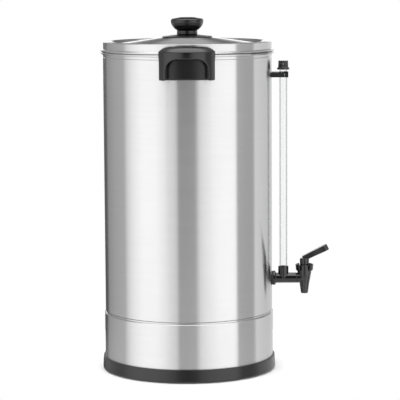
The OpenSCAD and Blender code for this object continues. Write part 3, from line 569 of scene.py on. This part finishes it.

# The valve spring gets its own copy of the CAD mesh; in the urn it shortens against the bonnet as the stem
# rises
spring_node = frame["nodes"]["valve_spring"]
spring_mesh = spring_node.data.copy()
spring_mesh.transform(spring_node.matrix_world)
spring = place_piece("valve_spring_wire", spring_mesh, "valve_spring")
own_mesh(spring)


# ---------------------------------------------------------------- carried-over nodes

for node, obj in frame["nodes"].items():
    set_finish(obj, SLOT_OF[node])


# ---------------------------------------------------------------- studio

def studio_floor(radius=0.32, sides=96):
    """Pale round table that the urn stands on. Most mirrored rays pass it, so its edge doesn't show."""
    mesh = bpy.data.meshes.new("floor")
    rim = [(radius * math.cos(math.tau * i / sides), radius * math.sin(math.tau * i / sides), 0)
           for i in range(sides)]
    mesh.from_pydata(rim, [], [tuple(range(sides))])
    floor = bpy.data.objects.new("floor", mesh)
    bpy.context.scene.collection.objects.link(floor)
    material, tree, shader, place = new_material("pale_floor")
    tone = noise(tree, place, 3.0)
    connect(tree, shader, Roughness=0.9,
            Base_Color=between(tree, tone, (0.93, 0.93, 0.93), (0.96, 0.96, 0.96)))
    mirrored = add(tree, "ShaderNodeLightPath").outputs["Is Glossy Ray"]
    clear = add(tree, "ShaderNodeBsdfTransparent")
    faint = add(tree, "ShaderNodeMixShader", {0: calc(tree, "MULTIPLY", mirrored, 0.88),
                                              1: shader.outputs[0], 2: clear.outputs[0]}).outputs[0]
    tree.links.new(faint, tree.nodes["Material Output"].inputs["Surface"])
    mesh.materials.append(material)


# Brightness of the studio all round, from behind on the left (-180) through the front (0) to behind on
# the right (180): two broad soft panels with a dark gap between them, and grey card beyond. HORIZON is
# level with the urn, LOWER is under it, BACKDROP is just over it and OVERHEAD is over that.
HORIZON = [(-180, 0.04), (-150, 0.08), (-143, 0.42), (-118, 0.62), (-97, 0.7), (-92, 1.2), (-80, 1.62),
           (-66, 1.86), (-45, 1.88), (-33, 1.62), (-24, 1.3), (-15.5, 0.95), (-12.6, 0.18), (9, 0.24),
           (12.5, 0.65), (15, 1.2), (26, 1.55), (42, 1.86), (69.2, 1.9), (70.7, 0.62), (102, 0.58),
           (104, 1.2), (140, 0.9), (180, 0.7)]
LOWER = [(-180, 0.1), (-150, 0.1), (-143, 0.42), (-118, 0.6), (-97, 0.68), (-92, 1.15), (-80, 1.5),
         (-66, 1.72), (-45, 1.72), (-33, 1.5), (-24, 1.3), (-15, 1.15), (-13.5, 1.05), (10, 1.15), (14, 1.25),
         (26, 1.5), (42, 1.74), (69.2, 1.78), (70.7, 0.6), (102, 0.56), (104, 1.05), (140, 0.8), (180, 0.7)]
BACKDROP = [(-180, 1.5), (-158, 1.5), (-150, 0.4), (-118, 0.62), (-97, 0.7), (-92, 1.2), (-80, 1.62),
            (-66, 1.94), (-45, 1.98), (-33, 1.72), (-24, 1.3), (-15.5, 0.95), (-12.6, 0.04), (9, 0.08),
            (12.5, 0.55), (15, 1.15), (26, 1.62), (42, 1.95), (69.2, 2.0), (70.7, 0.62), (102, 0.58),
            (104, 1.2), (140, 0.9), (158, 1.5), (180, 1.5)]
OVERHEAD = [(-180, 0.08), (-168, 0.08), (-163, 0.45), (-110, 0.6), (-60, 1.2), (-16, 0.9), (-12, 0.12),
            (12, 0.12), (16, 0.9), (60, 1.2), (110, 0.6), (163, 0.45), (168, 0.08), (180, 0.08)]
FULL = 2.5               # the ramps' white
ZENITH, GROUND = 3.0, 0.95


def ramp_round(tree, turn, stops):
    """Grey that follows stops, given as (degrees, brightness up to FULL)."""
    node = add(tree, "ShaderNodeValToRGB", {0: turn})
    elements = node.color_ramp.elements
    elements.remove(elements[1])
    for i, (angle, light) in enumerate(stops):
        element = elements[0] if i == 0 else elements.new((angle + 180) / 360)
        element.position = (angle + 180) / 360
        element.color = (light / FULL, light / FULL, light / FULL, 1)
    return calc(tree, "MULTIPLY", node.outputs[0], FULL)


def studio_light():
    """Soft panels all round for mirrored rays, plain white for the camera, shaded white through glass."""
    world = bpy.data.worlds.new("studio")
    bpy.context.scene.world = world
    world.use_nodes = True
    tree = world.node_tree
    tree.nodes.clear()
    direction = add(tree, "ShaderNodeTexCoord").outputs["Generated"]
    parts = add(tree, "ShaderNodeSeparateXYZ", {0: direction})
    turn = calc(tree, "ARCTAN2", parts.outputs[0], calc(tree, "MULTIPLY", parts.outputs[1], -1.0))
    turn = calc(tree, "ADD", calc(tree, "DIVIDE", turn, math.tau), 0.5)

    def layer(share, under, over):
        return add(tree, "ShaderNodeMix", {0: share, 2: under, 3: over}).outputs[0]

    up = parts.outputs[2]
    bands = layer(remap(tree, up, -0.3, -0.08, 0.0, 1.0), ramp_round(tree, turn, LOWER),
                  ramp_round(tree, turn, HORIZON))
    bands = layer(remap(tree, up, 0.0, 0.03, 0.0, 1.0), bands, ramp_round(tree, turn, BACKDROP))
    bands = layer(remap(tree, up, 0.12, 0.2, 0.0, 1.0), bands, ramp_round(tree, turn, OVERHEAD))
    bands = layer(remap(tree, up, 0.72, 0.86, 0.0, 1.0), bands, ZENITH)
    bands = layer(remap(tree, up, -0.7, -0.4, 1.0, 0.0), bands, GROUND)
    soft = add(tree, "ShaderNodeBackground", {"Color": bands})
    path = add(tree, "ShaderNodeLightPath")
    through = calc(tree, "GREATER_THAN", path.outputs["Transmission Depth"], 0.5)
    beyond = add(tree, "ShaderNodeBackground", {"Color": remap(tree, parts.outputs[1], 0.6, 0.97, 0.2, 1.0)})
    plain = add(tree, "ShaderNodeBackground", {"Color": (1, 1, 1, 1)})
    shown = add(tree, "ShaderNodeMixShader", {0: through, 1: soft.outputs[0], 2: beyond.outputs[0]})
    shown = add(tree, "ShaderNodeMixShader", {0: path.outputs["Is Camera Ray"], 1: shown.outputs[0],
                                              2: plain.outputs[0]})
    add(tree, "ShaderNodeOutputWorld", {0: shown.outputs[0]})


def studio_camera():
    """Long lens a little above the urn's middle, looking down on it."""
    data = bpy.data.cameras.new("camera")
    data.lens = 176.5
    data.clip_end = 100
    camera = bpy.data.objects.new("camera", data)
    camera.location = (0.0174, -2.8882, 0.6039)
    tilt = Euler((math.radians(90 - 6.979), 0, 0)).to_matrix()
    roll = Matrix.Rotation(-0.0058, 3, "Z")
    camera.rotation_euler = (tilt @ roll).to_euler()
    bpy.context.scene.collection.objects.link(camera)
    bpy.context.scene.camera = camera


studio_floor()
studio_light()
studio_camera()
bpy.context.scene.view_settings.view_transform = "Standard"
